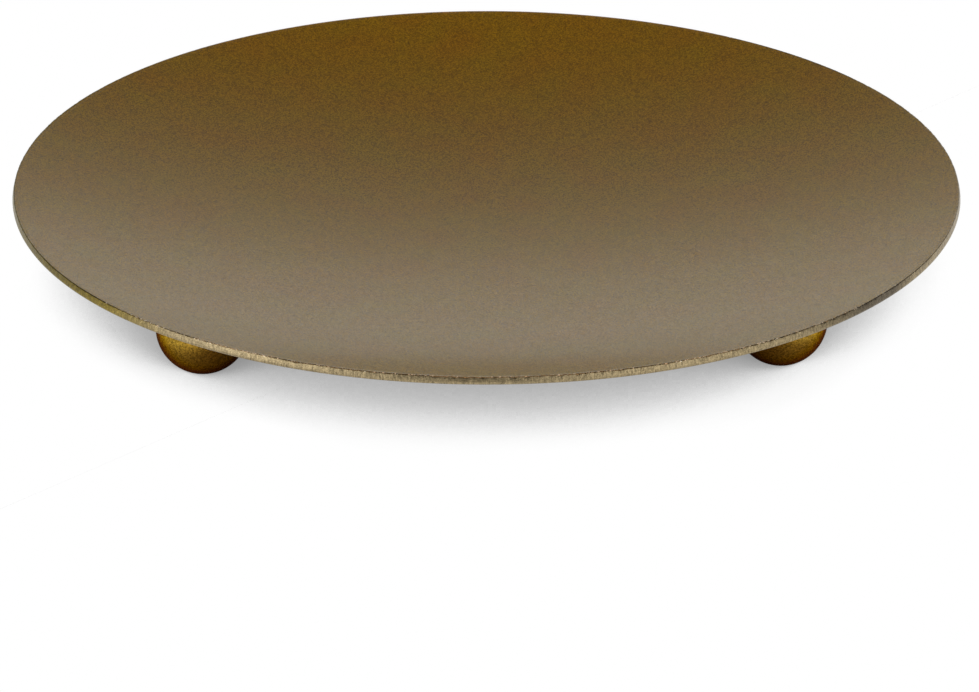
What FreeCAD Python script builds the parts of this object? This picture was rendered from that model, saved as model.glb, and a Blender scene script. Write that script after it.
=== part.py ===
import FreeCAD, Part
import math
import os

# A small round plate that a candle stands on. A disc of sheet steel is pressed to a shallow
# spherical dish, and stands on three steel balls that are welded to its underside.
# Frame: millimetres, +Z up, origin on the standing plane below the middle of the dish.
# One foot is at the back, on +Y. The other two face the front, to the left and to the right.

# The pressed sheet
plate_diameter = 85.0
sheet_thickness = 0.7
# How far the underside rises from its middle to the rim
dish_rise = 5.1

# The ball feet, and how far in from the rim their centres stand
ball_diameter = 8.3
foot_inset = 13.1
# The feet, evenly spaced from the rear one, which stands at this angle from +X, in degrees
foot_names = ("rear", "left", "right")
rear_foot_angle = 90.0

# The welds: how deep a ball's crown is melted away, how far the bead climbs down the ball,
# and how far its toe then spreads over the sheet
weld_sink = 0.15
weld_height = 0.4
weld_toe = 0.4

# Both faces of the sheet are spheres about one centre of curvature, high above the plate
rim_radius = plate_diameter / 2
underside_radius = (rim_radius ** 2 + dish_rise ** 2) / (2 * dish_rise)
top_radius = underside_radius - sheet_thickness
# The cut edge is square to the sheet, so it lies on a cone from that centre
edge_angle = math.asin(rim_radius / underside_radius)

# Each ball sits square to the underside, and all three touch the standing plane
ball_radius = ball_diameter / 2
ball_centre_radius = underside_radius + ball_radius - weld_sink
foot_tilt = math.asin((rim_radius - foot_inset) / ball_centre_radius)
centre_height = ball_radius + ball_centre_radius * math.cos(foot_tilt)

# Every solid is made about the centre of curvature, and moved to its place last
CENTRE = FreeCAD.Vector(0, 0, 0)
X_AXIS = FreeCAD.Vector(1, 0, 0)
Y_AXIS = FreeCAD.Vector(0, 1, 0)
Z_AXIS = FreeCAD.Vector(0, 0, 1)


def below_centre(distance):
    """The point straight below the centre of curvature at that distance."""
    return Z_AXIS * -distance


def dish_sphere(radius):
    """A ball about the centre of curvature. Its poles and seam stay clear of the dish."""
    return Part.makeSphere(radius, CENTRE, X_AXIS)


def lifted(solid):
    """A solid moved from the centre of curvature's frame to the frame of the part."""
    solid.translate(Z_AXIS * centre_height)
    return solid


def swung_to_foot(solid, foot_angle):
    """A solid made straight below the centre of curvature, swung out to one foot's place."""
    solid.rotate(CENTRE, Y_AXIS, -math.degrees(foot_tilt))
    solid.rotate(CENTRE, Z_AXIS, foot_angle)
    return lifted(solid)


def make_dish():
    """The sheet between its two spheres, cut off square to its faces all round."""
    cone_height = underside_radius + sheet_thickness
    cone_radius = cone_height * math.tan(edge_angle)
    blanking_cone = Part.makeCone(0, cone_radius, cone_height, CENTRE, -Z_AXIS)
    sheet = dish_sphere(underside_radius).cut(dish_sphere(top_radius))
    return lifted(sheet.common(blanking_cone))


def make_ball_foot(foot_angle):
    """A ball whose crown is melted to the curve of the underside that it is welded to."""
    ball = Part.makeSphere(ball_radius, below_centre(ball_centre_radius))
    return swung_to_foot(ball.cut(dish_sphere(underside_radius)), foot_angle)


def make_weld(foot_angle):
    """The ring of squeezed-out metal that fills the corner between a ball and the sheet."""
    # The bead's outer face is a cone through the circle where it ends on the ball. It starts
    # inside the ball and ends inside the sheet, and these two trim it.
    end_level = ball_radius - weld_sink - weld_height
    end_radius = math.sqrt(ball_radius ** 2 - end_level ** 2)
    blank = Part.makeCone(
        end_radius - weld_toe,
        end_radius + 2 * weld_toe,
        3 * weld_height,
        below_centre(underside_radius + 2 * weld_height),
        Z_AXIS,
    )
    ball = Part.makeSphere(ball_radius, below_centre(ball_centre_radius), X_AXIS)
    return swung_to_foot(blank.cut(dish_sphere(underside_radius)).cut(ball), foot_angle)


def main():
    nodes = {"dish": make_dish()}
    for place, name in enumerate(foot_names):
        foot_angle = rear_foot_angle + 360 * place / len(foot_names)
        nodes["foot_" + name] = make_ball_foot(foot_angle)
        nodes["weld_" + name] = make_weld(foot_angle)

    os.makedirs("parts", exist_ok=True)
    for name, solid in nodes.items():
        solid.exportStep(os.path.join("parts", name + ".step"))
        box = solid.optimalBoundingBox(False, False)
        print(name, "valid", solid.isValid(), "solids", len(solid.Solids),
              "volume", round(solid.Volume, 3),
              "from", round(box.ZMin, 3), "to", round(box.ZMax, 3),
              "across", round(box.XLength, 3), round(box.YLength, 3))


main()
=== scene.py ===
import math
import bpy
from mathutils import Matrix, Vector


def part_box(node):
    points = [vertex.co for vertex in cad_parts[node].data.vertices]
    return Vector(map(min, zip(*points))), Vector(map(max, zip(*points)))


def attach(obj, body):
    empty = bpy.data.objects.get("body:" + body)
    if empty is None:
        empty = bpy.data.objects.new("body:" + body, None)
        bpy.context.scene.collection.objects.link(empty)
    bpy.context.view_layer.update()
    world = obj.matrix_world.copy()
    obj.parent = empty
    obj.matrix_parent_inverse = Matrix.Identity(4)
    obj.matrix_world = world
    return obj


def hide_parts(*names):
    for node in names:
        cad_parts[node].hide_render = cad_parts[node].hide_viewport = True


bl_info = {
    "name": "Candle plate",
    "version": (1, 0, 0),
    "blender": (4, 5, 0),
    "location": "3D View > Sidebar > Candle plate",
    "description": "Dresses the model of a small dished plate on three ball feet in antique-gold lacquer",
    "category": "Object",
}

import bmesh
import bpy
from bpy.props import FloatProperty, FloatVectorProperty, IntProperty, PointerProperty
from mathutils import Matrix, Vector, noise

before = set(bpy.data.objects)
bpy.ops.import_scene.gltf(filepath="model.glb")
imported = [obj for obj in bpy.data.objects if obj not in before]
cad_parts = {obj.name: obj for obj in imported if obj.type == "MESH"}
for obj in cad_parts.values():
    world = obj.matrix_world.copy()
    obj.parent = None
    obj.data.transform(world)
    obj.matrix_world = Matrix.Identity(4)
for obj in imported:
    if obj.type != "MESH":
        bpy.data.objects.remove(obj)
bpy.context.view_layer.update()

# One millimetre, in the metres that Blender and the frame use
MM = 0.001
Y_AXIS = Vector((0, 1, 0))
Z_AXIS = Vector((0, 0, 1))
FULL_TURN = 2 * math.pi
# Points nearer than this are one point
MERGE = 0.0005 * MM
# The border of the sheet's upper face that shearing has roughened
BORDER = 0.6 * MM
# The board is a square that reaches this far from the plate, in metres
BOARD_REACH = 15.0
WHITE = (1, 1, 1)
# Where a Mix node has its sockets for two colours, and for their mixture
FIRST_COLOUR = 6
SECOND_COLOUR = 7
MIXTURE = 2

# How bright the backdrop is, as a share of its level, by its height in degrees
BACKDROP_TOP = 60.0
BACKDROP_FADE = ((0, 0.5), (8, 0.88), (16, 0.93), (25, 0.6), (33, 0.32), (41, 0.08), (49, 0.0))

# The plate's shadow: the board's colour by how much of the view above it is open. The first
# is what the eye sees, and the second, deeper and warmer, is what the metal mirrors.
SHADOW_SEEN = (
    (0.3, (0.2, 0.2, 0.2)),
    (0.519, (0.44, 0.44, 0.44)),
    (0.59, (0.865, 0.865, 0.865)),
    (0.65, WHITE),
)
SHADOW_MIRRORED = (
    (0.09, (0.02, 0.01, 0.005)),
    (0.3, (0.33, 0.25, 0.2)),
    (0.47, WHITE),
)

dish_low, dish_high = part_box("dish")
ball_low, ball_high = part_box("foot_rear")
FOOT_ANGLES = {"rear": 90, "left": 210, "right": 330}


def linear(text):
    """Turn an sRGB hex colour into the linear colour that Blender works in."""
    channels = [int(text[place:place + 2], 16) / 255 for place in (1, 3, 5)]
    return [c / 12.92 if c <= 0.04045 else ((c + 0.055) / 1.055) ** 2.4 for c in channels]


def add_node(tree, kind, inputs=None, **settings):
    """Add a node, with its settings, and with a value or a link for each input that is named."""
    made = tree.nodes.new(kind)
    for name, value in settings.items():
        setattr(made, name, value)
    for socket, value in (inputs or {}).items():
        if isinstance(value, bpy.types.NodeSocket):
            tree.links.new(value, made.inputs[socket])
        else:
            made.inputs[socket].default_value = value
    return made


class PlateSizes(bpy.types.PropertyGroup):
    rim_radius: FloatProperty(
        name="Rim radius",
        description="From the middle of the plate to its outermost edge",
        default=-dish_low.x,
        unit="LENGTH",
        precision=5,
    )
    thickness: FloatProperty(
        name="Sheet thickness",
        description="Thickness of the pressed sheet",
        default=0.7 * MM,
        unit="LENGTH",
        precision=5,
    )
    rise: FloatProperty(
        name="Dish rise",
        description="How far the underside rises from its middle to the rim",
        default=5.1 * MM,
        unit="LENGTH",
        precision=5,
    )
    rollover: FloatProperty(
        name="Rolled edge",
        description="How far the punch has drawn the lower edge round",
        default=0.2 * MM,
        unit="LENGTH",
        precision=5,
    )
    burr: FloatProperty(
        name="Burr raggedness",
        description="How deep the nicks in the sheared upper edge are",
        default=0.06 * MM,
        unit="LENGTH",
        precision=5,
    )
    weld_sink: FloatProperty(
        name="Weld sink",
        description="How much of each ball's crown is melted away",
        default=0.15 * MM,
        unit="LENGTH",
        precision=5,
    )
    weld_leg: FloatProperty(
        name="Weld leg",
        description="How far the bead reaches down the ball and out over the sheet",
        default=0.4 * MM,
        unit="LENGTH",
        precision=5,
    )
    turn_steps: IntProperty(
        name="Steps round the rim",
        description="Faces round the rim, fine enough to carry its nicks",
        default=2048,
        min=64,
    )


class PlateFinish(bpy.types.PropertyGroup):
    lacquer: FloatVectorProperty(
        name="Lacquer",
        description="Colour of the metal flakes in the lacquer",
        subtype="COLOR",
        default=linear("#8B7000"),
    )
    ball_lacquer: FloatVectorProperty(
        name="Lacquer on the balls",
        description="Colour of the same lacquer where it lies thicker, on the balls",
        subtype="COLOR",
        default=linear("#A07C2C"),
    )
    cut_edge: FloatVectorProperty(
        name="Cut edge",
        description="Colour of the sheared edge under its thin lacquer",
        subtype="COLOR",
        default=linear("#998969"),
    )
    # Bare metal points on the torn lip, painted brighter as glints
    bare_metal_glint: FloatVectorProperty(
        name="Bright metal",
        description="Colour of the torn points that the lacquer has left bare",
        subtype="COLOR",
        default=linear("#E6DCC4"),
    )
    # Painted shade: the dark specks in the notches along the torn lip
    painted_lip_shade: FloatVectorProperty(
        name="Tarnish",
        description="Colour of the dark specks where the lacquer has gathered along the torn lip",
        subtype="COLOR",
        default=linear("#4A3E22"),
    )
    bead: FloatVectorProperty(
        name="Weld bead",
        description="Colour of the lacquer over the rougher weld metal",
        subtype="COLOR",
        default=linear("#7A5C20"),
    )


class StudioSettings(bpy.types.PropertyGroup):
    camera_elevation: FloatProperty(
        name="Camera elevation",
        description="How far the camera stands above the rim, seen from the middle of the rim",
        default=math.radians(22.686),
        subtype="ANGLE",
    )
    camera_azimuth: FloatProperty(
        name="Camera azimuth",
        description="How far the camera stands to the right of the plate's front",
        default=math.radians(-1.957),
        subtype="ANGLE",
    )
    camera_distance: FloatProperty(
        name="Camera distance",
        description="From the middle of the rim to the camera",
        default=541.9 * MM,
        unit="LENGTH",
    )
    camera_aim: FloatVectorProperty(
        name="Camera aim",
        description="Point of the floor in the middle of the picture",
        default=(-0.09 * MM, -10.422 * MM, 0),
        subtype="XYZ",
        unit="LENGTH",
        precision=5,
    )
    lens: FloatProperty(
        name="Lens",
        description="Focal length in millimetres, for a sensor 36 mm wide",
        default=221.94,
        unit="CAMERA",
    )
    board_colour: FloatVectorProperty(
        name="Board",
        description="Colour of the matt white board that the plate stands on",
        subtype="COLOR",
        default=linear("#F4F4F4"),
    )
    light_lean: FloatProperty(
        name="Lean of the light",
        description="How far the light on the board leans over towards the plate's front",
        default=math.radians(60),
        subtype="ANGLE",
    )
    overhead: FloatVectorProperty(
        name="Overhead panels",
        description="Level and colour of the ring of panels overhead, which are warm",
        subtype="COLOR",
        default=(1.47, 1.0, 0.72),
        soft_max=2.0,
    )
    high_sides: FloatProperty(
        name="High side panels",
        description="Level of the panels high up on both sides",
        default=0.66,
    )
    front_left: FloatProperty(
        name="Front left panel",
        description="Level of the panel low down at the front left",
        default=2.25,
    )
    front_right: FloatProperty(
        name="Front right panel",
        description="Level of the panel low down at the front right",
        default=1.58,
    )
    backdrop: FloatProperty(
        name="Backdrop",
        description="Level of the backdrop at its brightest",
        default=0.95,
    )
    horizon: FloatProperty(
        name="Horizon",
        description="Level of the low light that reaches just above the board, but for the back",
        default=0.6,
    )


def underside_radius(sizes):
    """Radius of the sphere that the underside is part of."""
    return (sizes.rim_radius ** 2 + sizes.rise ** 2) / (2 * sizes.rise)


def edge_angle(sizes):
    """Angle at the centre of curvature from the middle of the dish to its rim."""
    return math.asin(sizes.rim_radius / underside_radius(sizes))


def curve_centre(sizes):
    """The centre of curvature of both faces of the sheet, high above the plate."""
    top_radius = underside_radius(sizes) - sizes.thickness
    return Z_AXIS * (dish_high.z + top_radius * math.cos(edge_angle(sizes)))


def set_stops(node, stops):
    """Give a colour ramp its stops, each a place from 0 to 1 and a colour."""
    ramp = node.color_ramp
    while len(ramp.elements) < len(stops):
        ramp.elements.new(0.5)
    for element, (place, colour) in zip(ramp.elements, stops):
        element.position = place
        element.color = (*colour, 1)


def gold_lacquer(name, colour, coat, rough, flake_size, spread):
    """Antique-gold lacquer: brass-coloured flakes in a clear film, sprayed on steel.

    The flakes give a soft, coloured, metallic shine, and the film over them a weaker,
    colourless one that grows towards grazing angles and greys the gold there. coat is the
    film's weight, rough the flakes' roughness, and spread how much their brightness varies.
    """
    material = bpy.data.materials.new(name)
    material.use_nodes = True
    tree = material.node_tree
    shader = tree.nodes["Principled BSDF"]
    place = add_node(tree, "ShaderNodeTexCoord").outputs["Object"]
    # Flakes of 0.03 mm are too fine to show, so they are drawn several times as large
    flakes = add_node(
        tree, "ShaderNodeTexVoronoi",
        {"Vector": place, "Scale": 1 / flake_size},
    )
    chance = add_node(tree, "ShaderNodeSeparateColor", {0: flakes.outputs["Color"]})
    glint = add_node(
        tree, "ShaderNodeMapRange",
        {"Value": chance.outputs["Red"], "To Min": 1 - spread, "To Max": 1 + spread},
    )
    # The film is thinner over some flakes, and shines less there
    shine = add_node(
        tree, "ShaderNodeMapRange",
        {"Value": chance.outputs["Green"], "To Min": 0.5 * coat, "To Max": 1.5 * coat},
    )
    # The spray lay thicker here and there, in patches about 5 mm across, and is redder there
    patches = add_node(
        tree, "ShaderNodeTexNoise",
        {"Vector": place, "Scale": 1 / (5 * MM), "Detail": 2.0},
    )
    thickness = add_node(
        tree, "ShaderNodeMapRange",
        {"Value": patches.outputs["Fac"], "From Min": 0.3, "From Max": 0.7},
    )
    thin = (0.98 * colour[0], 1.05 * colour[1], colour[2])
    thick = (1.02 * colour[0], 0.95 * colour[1], colour[2])
    tone = add_node(tree, "ShaderNodeValToRGB", {0: thickness.outputs["Result"]})
    set_stops(tone, ((0, thin), (1, thick)))
    shade = add_node(
        tree, "ShaderNodeVectorMath",
        {0: tone.outputs["Color"], "Scale": glint.outputs["Result"]},
        operation="SCALE",
    )
    # The film's skin is very slightly pebbled
    skin = add_node(
        tree, "ShaderNodeTexNoise",
        {"Vector": place, "Scale": 1 / (1.5 * flake_size), "Detail": 2.0},
    )
    bump = add_node(
        tree, "ShaderNodeBump",
        {"Height": skin.outputs["Fac"], "Strength": 0.5, "Distance": 0.006 * MM},
    )
    tree.links.new(shade.outputs["Vector"], shader.inputs["Base Color"])
    tree.links.new(shine.outputs["Result"], shader.inputs["Coat Weight"])
    tree.links.new(bump.outputs["Normal"], shader.inputs["Normal"])
    tree.links.new(bump.outputs["Normal"], shader.inputs["Coat Normal"])
    shader.inputs["Metallic"].default_value = 1.0
    shader.inputs["Roughness"].default_value = rough
    shader.inputs["Coat Roughness"].default_value = 0.09
    return material


def sheared_edge(name, finish, sizes):
    """Sheared steel under a thin coat of the lacquer.

    The shear leaves fine upright streaks and, along the upper lip, a torn line of dark
    specks, which are painted shade in its notches, and bright points of bare metal, painted
    brighter as glints. At the plate's left the edge is darker and more golden, and towards
    its right a stretch is painted darker and greyer, as shade where it catches less light.
    """
    material = bpy.data.materials.new(name)
    material.use_nodes = True
    tree = material.node_tree
    shader = tree.nodes["Principled BSDF"]
    place = add_node(tree, "ShaderNodeTexCoord").outputs["Object"]
    # The torn grain, 0.1 mm apart
    torn = add_node(
        tree, "ShaderNodeTexNoise",
        {"Vector": place, "Scale": 1 / (0.1 * MM), "Detail": 2.0, "Roughness": 0.6},
    )
    # The streaks run through the thickness, which is nearly upright, 0.13 mm apart
    upright = add_node(
        tree, "ShaderNodeMapping",
        {"Vector": place, "Scale": (1, 1, 0.2)},
    )
    streaks = add_node(
        tree, "ShaderNodeTexNoise",
        {"Vector": upright.outputs["Vector"], "Scale": 1 / (0.13 * MM), "Detail": 1.0},
    )
    both = add_node(
        tree, "ShaderNodeMath",
        {0: torn.outputs["Fac"], 1: streaks.outputs["Fac"]},
        operation="ADD",
    )
    level = add_node(
        tree, "ShaderNodeMapRange",
        {"Value": both.outputs["Value"], "From Min": 0.7, "From Max": 1.3,
         "To Min": 0.5, "To Max": 1.5},
    )
    # The colour goes by the place across the plate, from 0 at its left to 1 at its right
    parts = add_node(tree, "ShaderNodeSeparateXYZ", {0: place})
    across = add_node(
        tree, "ShaderNodeMapRange",
        {"Value": parts.outputs["X"], "From Min": -sizes.rim_radius,
         "From Max": sizes.rim_radius},
    )
    tone = add_node(tree, "ShaderNodeValToRGB", {0: across.outputs["Result"]})
    red, green, blue = finish.cut_edge
    # At the plate's left the edge is darker and more golden
    gilt = (0.5 * red, 0.47 * green, 0.12 * blue)
    pale_gilt = (0.78 * red, 0.74 * green, 0.3 * blue)
    # Painted shade: towards the right a stretch of the edge is darker and greyer, where it catches less
    # light
    painted_dull_shade = (0.46 * red, 0.48 * green, 0.58 * blue)
    set_stops(tone, (
        (0.05, gilt),
        (0.11, pale_gilt),
        (0.17, finish.cut_edge),
        (0.8, finish.cut_edge),
        (0.87, painted_dull_shade),
        (0.905, painted_dull_shade),
        (0.925, finish.cut_edge),
    ))
    shade = add_node(
        tree, "ShaderNodeVectorMath",
        {0: tone.outputs["Color"], "Scale": level.outputs["Result"]},
        operation="SCALE",
    )
    # The depth under the upper face, from the distance to the centre of curvature. Points at
    # that face count for the torn lip, and points 0.2 mm below it against it.
    upper_face = underside_radius(sizes) - sizes.thickness
    arm = add_node(
        tree, "ShaderNodeVectorMath",
        {0: place, 1: curve_centre(sizes)},
        operation="DISTANCE",
    )
    depth = add_node(
        tree, "ShaderNodeMapRange",
        {"Value": arm.outputs["Value"], "From Min": upper_face,
         "From Max": upper_face + 0.2 * MM, "To Min": 0.25, "To Max": -0.3},
    )
    # The burr fades out from the plate's front towards its sides and back
    burr = add_node(
        tree, "ShaderNodeMapRange",
        {"Value": parts.outputs["Y"], "From Min": -0.75 * sizes.rim_radius,
         "From Max": -0.4 * sizes.rim_radius, "To Min": 0.0, "To Max": -0.3},
    )
    lip = add_node(
        tree, "ShaderNodeMath",
        {0: depth.outputs["Result"], 1: burr.outputs["Result"]},
        operation="ADD",
    )
    # The lip is torn in some stretches of the rim, 8 mm long, and clean in others
    stretch = add_node(
        tree, "ShaderNodeTexNoise",
        {"Vector": place, "Scale": 1 / (8 * MM), "Detail": 1.0},
    )
    torn_lip = add_node(
        tree, "ShaderNodeMath",
        {0: torn.outputs["Fac"], 1: lip.outputs["Value"]},
        operation="ADD",
    )
    tear = add_node(
        tree, "ShaderNodeMath",
        {0: torn_lip.outputs["Value"], 1: stretch.outputs["Fac"]},
        operation="ADD",
    )
    # Painted shade: dark specks in the notches of the torn lip
    dark = add_node(
        tree, "ShaderNodeMapRange",
        {"Value": tear.outputs["Value"], "From Min": 1.12, "From Max": 1.22},
    )
    specked = add_node(
        tree, "ShaderNodeMix",
        {"Factor": dark.outputs["Result"], FIRST_COLOUR: shade.outputs["Vector"],
         SECOND_COLOUR: (*finish.painted_lip_shade, 1)},
        data_type="RGBA",
    )
    # Bright points where the metal is bare, 0.14 mm apart, painted brighter as glints
    points = add_node(
        tree, "ShaderNodeTexVoronoi",
        {"Vector": place, "Scale": 1 / (0.14 * MM)},
    )
    point = add_node(
        tree, "ShaderNodeMath",
        {0: points.outputs["Color"], 1: lip.outputs["Value"]},
        operation="ADD",
    )
    bare = add_node(
        tree, "ShaderNodeMapRange",
        {"Value": point.outputs["Value"], "From Min": 0.86, "From Max": 0.9},
    )
    sparkling = add_node(
        tree, "ShaderNodeMix",
        {"Factor": bare.outputs["Result"], FIRST_COLOUR: specked.outputs[MIXTURE],
         SECOND_COLOUR: (*finish.bare_metal_glint, 1)},
        data_type="RGBA",
    )
    bump = add_node(
        tree, "ShaderNodeBump",
        {"Height": both.outputs["Value"], "Strength": 0.5, "Distance": 0.03 * MM},
    )
    tree.links.new(sparkling.outputs[MIXTURE], shader.inputs["Base Color"])
    tree.links.new(bump.outputs["Normal"], shader.inputs["Normal"])
    shader.inputs["Metallic"].default_value = 1.0
    shader.inputs["Roughness"].default_value = 0.34
    return material


def finished_piece(mesh, name, materials, slot, *nodes):
    """Make an object of a mesh, in place of CAD nodes, riding on the plate."""
    bmesh.ops.recalc_face_normals(mesh, faces=mesh.faces[:])
    for face in mesh.faces:
        face.smooth = True
    data = bpy.data.meshes.new(name)
    mesh.to_mesh(data)
    mesh.free()
    for material in materials:
        data.materials.append(material)
    piece = bpy.data.objects.new(name, data)
    bpy.context.collection.objects.link(piece)
    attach(piece, "root")
    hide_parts(*nodes)
    return piece


def spun_solid(mesh, steps):
    """Spin a section all the way round the upright axis, and close its seam and poles.

    A spin of many steps is slow, so one slice is spun, and then copied round. The steps are
    a multiple of the slices.
    """
    slices = 32
    bmesh.ops.spin(
        mesh,
        geom=mesh.verts[:] + mesh.edges[:],
        cent=(0, 0, 0),
        axis=Z_AXIS,
        angle=FULL_TURN / slices,
        steps=steps // slices,
    )
    bmesh.ops.spin(
        mesh,
        geom=mesh.verts[:] + mesh.edges[:] + mesh.faces[:],
        cent=(0, 0, 0),
        axis=Z_AXIS,
        angle=FULL_TURN * (slices - 1) / slices,
        steps=slices - 1,
        use_duplicate=True,
    )
    bmesh.ops.remove_doubles(mesh, verts=mesh.verts[:], dist=MERGE)
    bmesh.ops.recalc_face_normals(mesh, faces=mesh.faces[:])


def spun_on(mesh, vert, centre, angle, steps):
    """Carry a section on from one point along an arc, and return the arc's last point."""
    arc = bmesh.ops.spin(
        mesh,
        geom=[vert],
        cent=centre,
        axis=Y_AXIS,
        angle=angle,
        steps=steps,
    )
    return [part for part in arc["geom_last"] if isinstance(part, bmesh.types.BMVert)][0]


def drawn_on(mesh, vert, step):
    """Carry a section on from one point in a straight line, and return its end."""
    end = bmesh.ops.extrude_vert_indiv(mesh, verts=[vert])["verts"][0]
    bmesh.ops.translate(mesh, verts=[end], vec=step)
    return end


def roughen_rim(mesh, sizes):
    """Nick and dull the sheared edge, always inwards, so that it stays within the sheet.

    The punch stood slightly off, so that the burr is worst at the front and fine at the back.
    """
    centre = curve_centre(sizes)
    outer = underside_radius(sizes)
    slant = edge_angle(sizes)
    nick_length = 0.35 * MM
    stretch_length = 2.3 * MM
    corner_size = 0.12 * MM
    least_nick = 0.02
    # A groove runs round the upper face inside the burr, where the shear held the sheet
    groove_inset = 0.2 * MM
    groove_width = 0.08 * MM
    groove_depth = 0.018 * MM
    streak_width = 0.4 * MM
    streak_depth = 0.012 * MM
    # Points this near to the cut lie in it, and this near to the upper face lie on that
    in_cut = 0.01 * MM
    on_face = 0.1 * MM
    for vert in mesh.verts:
        arm = vert.co - centre
        inboard = (slant - math.atan2(math.hypot(arm.x, arm.y), -arm.z)) * outer
        if inboard > BORDER:
            continue
        depth = arm.length - (outer - sizes.thickness)
        inward = Vector((-arm.x, -arm.y, 0)).normalized()
        fine = noise.noise(vert.co / nick_length)
        coarse = noise.noise(vert.co / stretch_length)
        corner = math.exp(-((inboard ** 2 + depth ** 2) / corner_size ** 2))
        frontness = 0.5 - 0.5 * vert.co.y / sizes.rim_radius
        raggedness = max(least_nick, frontness * (0.35 + 1.4 * fine + 0.8 * coarse))
        nick = sizes.burr * corner * raggedness
        groove = 0
        if depth <= on_face:
            across = (inboard - groove_inset) / groove_width
            groove = groove_depth * math.exp(-across ** 2) * (1 + coarse)
        streak = 0
        if inboard <= in_cut:
            upright = noise.noise(vert.co.xy.to_3d() / streak_width)
            streak = streak_depth * max(0.0, 0.5 + upright)
        vert.co += inward * (0.6 * nick + streak)
        vert.co += arm.normalized() * (nick + groove)


class CANDLEPLATE_OT_press_sheet(bpy.types.Operator):
    """Spin the sheet's section to a dish with a rolled lower edge and a sheared upper one"""

    bl_idname = "candle_plate.press_sheet"
    bl_label = "Press the sheet"

    def execute(self, context):
        sizes = context.scene.plate_sizes
        finish = context.scene.plate_finish
        centre = curve_centre(sizes)
        slant = edge_angle(sizes)
        outer = underside_radius(sizes)
        # Rings lie close together in the border, for its nicks, and far apart inside it
        border = BORDER / outer
        mesh = bmesh.new()
        start = mesh.verts.new(centre - Z_AXIS * outer)
        low_corner = spun_on(mesh, start, centre, -slant, steps=10)
        through = (centre - low_corner.co).normalized() * sizes.thickness
        high_corner = drawn_on(mesh, low_corner, through)
        ring = spun_on(mesh, high_corner, centre, border, steps=6)
        spun_on(mesh, ring, centre, slant - border, steps=12)
        bmesh.ops.bevel(
            mesh,
            geom=[low_corner],
            offset=sizes.rollover,
            offset_type="OFFSET",
            segments=5,
            profile=0.5,
            affect="VERTICES",
            material=-1,
        )
        straight = sizes.thickness - sizes.rollover
        cut_line = [e for e in mesh.edges if abs(e.calc_length() - straight) < 0.01 * MM]
        bmesh.ops.subdivide_edges(mesh, edges=cut_line, cuts=5)
        spun_solid(mesh, steps=sizes.turn_steps)
        # The look of the cut reaches in over the rolled edge, and a little over the upper face
        low_reach = 0.12 * MM
        high_reach = 0.08 * MM
        for face in mesh.faces:
            arm = face.calc_center_median() - centre
            across = math.atan2(math.hypot(arm.x, arm.y), -arm.z)
            reach = low_reach if arm.length > outer - sizes.rollover else high_reach
            if (slant - across) * outer < reach:
                face.material_index = 1
        roughen_rim(mesh, sizes)
        lacquer = gold_lacquer(
            "gold lacquer on pressed steel",
            finish.lacquer,
            coat=0.53,
            rough=0.48,
            flake_size=0.085 * MM,
            spread=0.54,
        )
        cut = sheared_edge("sheared steel edge", finish, sizes)
        finished_piece(mesh, "pressed_sheet", [lacquer, cut], "gold_sheet", "dish")
        return {"FINISHED"}


def seated(mesh, sizes, foot_angle):
    """Swing a mesh made about a ball's centre, crown up, to its foot's place in the plate."""
    ball_radius = (ball_high.x - ball_low.x) / 2
    arm = underside_radius(sizes) + ball_radius - sizes.weld_sink
    foot_circle = (ball_high.y + ball_low.y) / 2
    lean = Matrix.Rotation(-math.asin(foot_circle / arm), 4, Y_AXIS)
    swing = Matrix.Rotation(math.radians(foot_angle), 4, Z_AXIS) @ lean
    centre = curve_centre(sizes)
    place = Matrix.Translation(centre) @ swing @ Matrix.Translation(-arm * Z_AXIS)
    bmesh.ops.transform(mesh, matrix=place, verts=mesh.verts[:])


class CANDLEPLATE_OT_set_balls(bpy.types.Operator):
    """Turn three balls and set each square to the underside, its crown melted flush"""

    bl_idname = "candle_plate.set_balls"
    bl_label = "Set the ball feet"

    def execute(self, context):
        sizes = context.scene.plate_sizes
        finish = context.scene.plate_finish
        material = gold_lacquer(
            "gold lacquer on steel balls",
            finish.ball_lacquer,
            coat=0.04,
            rough=0.22,
            flake_size=0.11 * MM,
            spread=0.5,
        )
        # The lacquer is thick enough here that light never grazes the metal under it
        material.node_tree.nodes["Principled BSDF"].inputs["Specular Tint"].default_value = (
            *finish.ball_lacquer, 1,
        )
        radius = (ball_high.x - ball_low.x) / 2
        crown_angle = math.acos((radius - sizes.weld_sink) / radius)
        for side, angle in FOOT_ANGLES.items():
            mesh = bmesh.new()
            start = mesh.verts.new((0, 0, -radius))
            crown = spun_on(mesh, start, (0, 0, 0), crown_angle - math.pi, steps=48)
            drawn_on(mesh, crown, (-crown.co.x, 0, 0))
            spun_solid(mesh, steps=160)
            seated(mesh, sizes, angle)
            finished_piece(mesh, "ball_foot_" + side, [material], "gold_balls", "foot_" + side)
        return {"FINISHED"}


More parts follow.
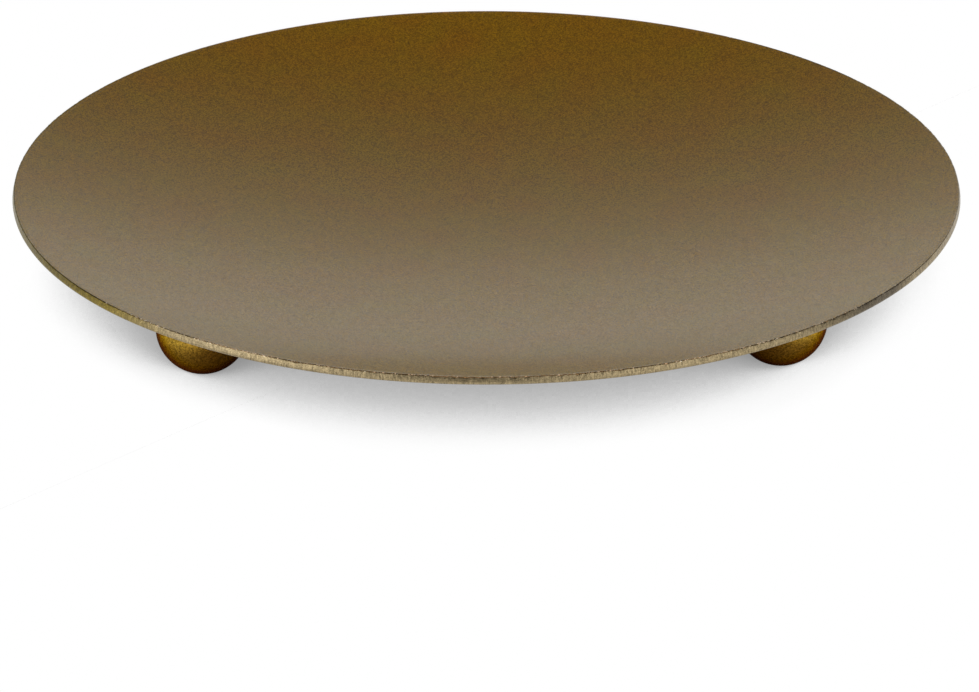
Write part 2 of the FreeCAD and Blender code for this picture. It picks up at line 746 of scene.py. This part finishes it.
class CANDLEPLATE_OT_run_welds(bpy.types.Operator):
    """Run an uneven, slightly hollow ring of weld metal round the crown of each ball"""

    bl_idname = "candle_plate.run_welds"
    bl_label = "Run the weld beads"

    def execute(self, context):
        sizes = context.scene.plate_sizes
        finish = context.scene.plate_finish
        material = gold_lacquer(
            "gold lacquer on weld metal",
            finish.bead,
            coat=0.2,
            rough=0.55,
            flake_size=0.2 * MM,
            spread=0.4,
        )
        radius = (ball_high.x - ball_low.x) / 2
        # The bead sits between the ball's melted crown and its waist, one leg further down
        high = radius - sizes.weld_sink
        crown = math.sqrt(radius ** 2 - high ** 2)
        low = high - sizes.weld_leg
        waist = math.sqrt(radius ** 2 - low ** 2)
        # The toe is drawn this far into the sheet, so that no gap shows
        bite = 0.03 * MM
        # The bead's face is this hollow, give or take its ripples
        hollow = 0.05 * MM
        ripple_height = 0.09 * MM
        ripple_length = 0.7 * MM
        for side, angle in FOOT_ANGLES.items():
            mesh = bmesh.new()
            on_ball = mesh.verts.new((waist, 0, low))
            toe = drawn_on(mesh, on_ball, (sizes.weld_leg, 0, sizes.weld_leg + bite))
            inner = drawn_on(mesh, toe, (crown - toe.co.x, 0, 0))
            mesh.edges.new((inner, on_ball))
            face_line = [e for e in mesh.edges if on_ball in e.verts and toe in e.verts]
            bmesh.ops.subdivide_edges(mesh, edges=face_line, cuts=7)
            spun_solid(mesh, steps=192)
            for vert in mesh.verts:
                out = math.hypot(vert.co.x, vert.co.y)
                # From 0 where the face leaves the ball to 1 at its toe
                share = (out - waist) / sizes.weld_leg
                if not 0 < share < 1:
                    continue
                bow = 4 * share * (1 - share)
                ripple = noise.noise(vert.co / ripple_length + Z_AXIS * angle)
                inward = Vector((-vert.co.x / out, -vert.co.y / out, 1)).normalized()
                vert.co += inward * bow * (hollow + ripple_height * ripple)
            seated(mesh, sizes, angle)
            finished_piece(mesh, "weld_bead_" + side, [material], "gold_beads", "weld_" + side)
        return {"FINISHED"}


def white_board(studio):
    """Matt white board, exposed to pure white where it is seen, but for the plate's shadow.

    Most light reaches the board low down from the front. So the shadow follows how much of
    a round view that leans over towards the front the plate covers, and it is short and
    soft there. In the metal the shadow is deep and warm, as only light from the gold
    underside reaches it. The board lights the plate by its own colour. From below it is clear.
    """
    material = bpy.data.materials.new("matt white board")
    material.use_nodes = True
    tree = material.node_tree
    shader = tree.nodes["Principled BSDF"]
    shader.inputs["Base Color"].default_value = (*studio.board_colour, 1)
    shader.inputs["Roughness"].default_value = 0.9
    shader.inputs["Specular IOR Level"].default_value = 0.0
    lean = add_node(
        tree, "ShaderNodeCombineXYZ",
        {"Y": -math.sin(studio.light_lean), "Z": math.cos(studio.light_lean)},
    )
    leaning_view = add_node(
        tree, "ShaderNodeAmbientOcclusion",
        {"Distance": 1.0, "Normal": lean.outputs["Vector"]},
        samples=32,
    )
    pale = add_node(tree, "ShaderNodeValToRGB", {0: leaning_view.outputs["AO"]})
    set_stops(pale, SHADOW_SEEN)
    upward_view = add_node(tree, "ShaderNodeAmbientOcclusion", {"Distance": 1.0}, samples=8)
    deep = add_node(tree, "ShaderNodeValToRGB", {0: upward_view.outputs["AO"]})
    set_stops(deep, SHADOW_MIRRORED)
    path = add_node(tree, "ShaderNodeLightPath")
    white = add_node(
        tree, "ShaderNodeMixShader",
        {0: path.outputs["Is Camera Ray"],
         1: add_node(tree, "ShaderNodeEmission", {0: deep.outputs["Color"]}).outputs[0],
         2: add_node(tree, "ShaderNodeEmission", {0: pale.outputs["Color"]}).outputs[0]},
    )
    seen_or_mirrored = add_node(
        tree, "ShaderNodeMath",
        {0: path.outputs["Is Camera Ray"], 1: path.outputs["Is Glossy Ray"]},
        operation="ADD",
    )
    seen = add_node(
        tree, "ShaderNodeMath",
        {0: seen_or_mirrored.outputs["Value"], 1: path.outputs["Is Transmission Ray"]},
        operation="ADD",
        use_clamp=True,
    )
    upper = add_node(
        tree, "ShaderNodeMixShader",
        {0: seen.outputs["Value"], 1: shader.outputs["BSDF"], 2: white.outputs["Shader"]},
    )
    from_below = add_node(tree, "ShaderNodeNewGeometry").outputs["Backfacing"]
    clear = add_node(tree, "ShaderNodeBsdfTransparent").outputs["BSDF"]
    both_faces = add_node(
        tree, "ShaderNodeMixShader",
        {0: from_below, 1: upper.outputs["Shader"], 2: clear},
    )
    output = tree.nodes["Material Output"]
    tree.links.new(both_faces.outputs["Shader"], output.inputs["Surface"])
    return material


def panel(tree, turn, height, turns, heights, level):
    """One lit panel of the tent, soft at its edges.

    turns and heights are in degrees: dark up to the first, full between the second and
    the third, and dark again from the fourth.
    """
    lit = level
    for angle, edges in ((turn, turns), (height, heights)):
        rise = add_node(
            tree, "ShaderNodeMapRange",
            {"Value": angle, "From Min": edges[0], "From Max": edges[1]},
        )
        fall = add_node(
            tree, "ShaderNodeMapRange",
            {"Value": angle, "From Min": edges[2], "From Max": edges[3],
             "To Min": 1.0, "To Max": 0.0},
        )
        inside = add_node(
            tree, "ShaderNodeMath",
            {0: rise.outputs["Result"], 1: fall.outputs["Result"]},
            operation="MINIMUM",
        )
        lit = add_node(
            tree, "ShaderNodeMath",
            {0: inside.outputs["Value"], 1: lit},
            operation="MULTIPLY",
        ).outputs["Value"]
    return lit


def light_tent(scene, studio):
    """Light the plate by a tent of soft panels: backdrop, front and high sides, and overhead."""
    world = bpy.data.worlds.new("light tent")
    scene.world = world
    world.use_nodes = True
    tree = world.node_tree
    look = add_node(tree, "ShaderNodeTexCoord").outputs["Generated"]
    parts = add_node(tree, "ShaderNodeSeparateXYZ", {0: look})
    forward = add_node(
        tree, "ShaderNodeMath",
        {0: parts.outputs["Y"], 1: -1.0},
        operation="MULTIPLY",
    )
    angles = []
    for kind, inputs in (
        ("ARCSINE", {0: parts.outputs["Z"]}),
        ("ARCTAN2", {0: parts.outputs["X"], 1: forward.outputs["Value"]}),
    ):
        angle = add_node(tree, "ShaderNodeMath", inputs, operation=kind)
        angle = add_node(tree, "ShaderNodeMath", {0: angle.outputs["Value"]}, operation="DEGREES")
        angles.append(angle.outputs["Value"])
    height, turn = angles
    # From 0 at the front to 180 at the back, the same on both sides
    away = add_node(tree, "ShaderNodeMath", {0: turn}, operation="ABSOLUTE").outputs["Value"]
    # The backdrop is brightest a little above the board and fades upwards
    climb = add_node(
        tree, "ShaderNodeMapRange",
        {"Value": height, "From Min": 0.0, "From Max": BACKDROP_TOP},
    )
    fade = add_node(tree, "ShaderNodeValToRGB", {0: climb.outputs["Result"]})
    set_stops(fade, [
        (degrees / BACKDROP_TOP, (share, share, share)) for degrees, share in BACKDROP_FADE
    ])
    backdrop = add_node(
        tree, "ShaderNodeMath",
        {0: fade.outputs["Color"], 1: studio.backdrop},
        operation="MULTIPLY",
    ).outputs["Value"]
    panels = [
        panel(tree, away, height, (135, 162, 200, 201), (-91, -90, 91, 92), backdrop),
        panel(tree, away, height, (-2, -1, 135, 162), (-91, -90, 3.3, 5), studio.horizon),
        panel(tree, away, height, (70, 95, 135, 162), (33, 41, 49, 58), studio.high_sides),
        panel(tree, turn, height, (-100, -75, -42, -17), (-6, 0, 16, 33), studio.front_left),
        panel(tree, turn, height, (5, 28, 56, 80), (-6, 0, 16, 33), studio.front_right),
    ]
    white_light = panels[0]
    for more in panels[1:]:
        both = add_node(tree, "ShaderNodeMath", {0: white_light, 1: more}, operation="ADD")
        white_light = both.outputs["Value"]
    ring = panel(tree, away, height, (-2, -1, 200, 201), (49, 58, 66, 76), 1.0)
    total = add_node(
        tree, "ShaderNodeVectorMath",
        {0: ring, 1: studio.overhead, 2: white_light},
        operation="MULTIPLY_ADD",
    )
    tree.links.new(total.outputs["Vector"], tree.nodes["Background"].inputs["Color"])


def bearing(azimuth, elevation):
    """Direction at angles in degrees: azimuth 0 is the plate's front, and 90 its right side."""
    turn = math.radians(azimuth)
    lift = math.radians(elevation)
    return Vector((
        math.sin(turn) * math.cos(lift),
        -math.cos(turn) * math.cos(lift),
        math.sin(lift),
    ))


class CANDLEPLATE_OT_set_studio(bpy.types.Operator):
    """Lay the white board, put up the light tent and stand the camera"""

    bl_idname = "candle_plate.set_studio"
    bl_label = "Set the studio"

    def execute(self, context):
        studio = context.scene.studio_settings
        mesh = bmesh.new()
        bmesh.ops.create_grid(mesh, x_segments=1, y_segments=1, size=BOARD_REACH)
        data = bpy.data.meshes.new("board")
        mesh.to_mesh(data)
        mesh.free()
        data.materials.append(white_board(studio))
        board = bpy.data.objects.new("board", data)
        context.collection.objects.link(board)

        light_tent(context.scene, studio)
        rim_middle = Z_AXIS * dish_high.z

        camera = bpy.data.cameras.new("camera")
        camera.sensor_width = 36.0
        camera.lens = studio.lens
        camera.clip_start = 0.01
        camera.clip_end = 100.0
        stand = bpy.data.objects.new("camera", camera)
        context.collection.objects.link(stand)
        elevation = math.degrees(studio.camera_elevation)
        azimuth = math.degrees(studio.camera_azimuth)
        stand.location = rim_middle + bearing(azimuth, elevation) * studio.camera_distance
        line = Vector(studio.camera_aim) - stand.location
        stand.rotation_euler = line.to_track_quat("-Z", "Y").to_euler()
        context.scene.camera = stand
        context.scene.view_settings.view_transform = "Standard"
        return {"FINISHED"}


class CANDLEPLATE_PT_pieces(bpy.types.Panel):
    """The plate's pieces, and the sizes and colours that they are made with"""

    bl_idname = "CANDLEPLATE_PT_pieces"
    bl_label = "Candle plate"
    bl_space_type = "VIEW_3D"
    bl_region_type = "UI"
    bl_category = "Candle plate"

    def draw(self, context):
        column = self.layout.column()
        for group_name in GROUPS:
            group = getattr(context.scene, group_name)
            for name in group.__annotations__:
                column.prop(group, name)
        for operator in OPERATORS:
            column.operator(operator.bl_idname)


GROUPS = {
    "plate_sizes": PlateSizes,
    "plate_finish": PlateFinish,
    "studio_settings": StudioSettings,
}
OPERATORS = (
    CANDLEPLATE_OT_press_sheet,
    CANDLEPLATE_OT_set_balls,
    CANDLEPLATE_OT_run_welds,
    CANDLEPLATE_OT_set_studio,
)


def register():
    for name, group in GROUPS.items():
        bpy.utils.register_class(group)
        setattr(bpy.types.Scene, name, PointerProperty(type=group))
    for operator in OPERATORS:
        bpy.utils.register_class(operator)
    bpy.utils.register_class(CANDLEPLATE_PT_pieces)


def unregister():
    bpy.utils.unregister_class(CANDLEPLATE_PT_pieces)
    for operator in reversed(OPERATORS):
        bpy.utils.unregister_class(operator)
    for name, group in reversed(GROUPS.items()):
        delattr(bpy.types.Scene, name)
        bpy.utils.unregister_class(group)


def main():
    register()
    bpy.ops.candle_plate.press_sheet()
    bpy.ops.candle_plate.set_balls()
    bpy.ops.candle_plate.run_welds()
    bpy.ops.candle_plate.set_studio()


if __name__ == "__main__":
    main()
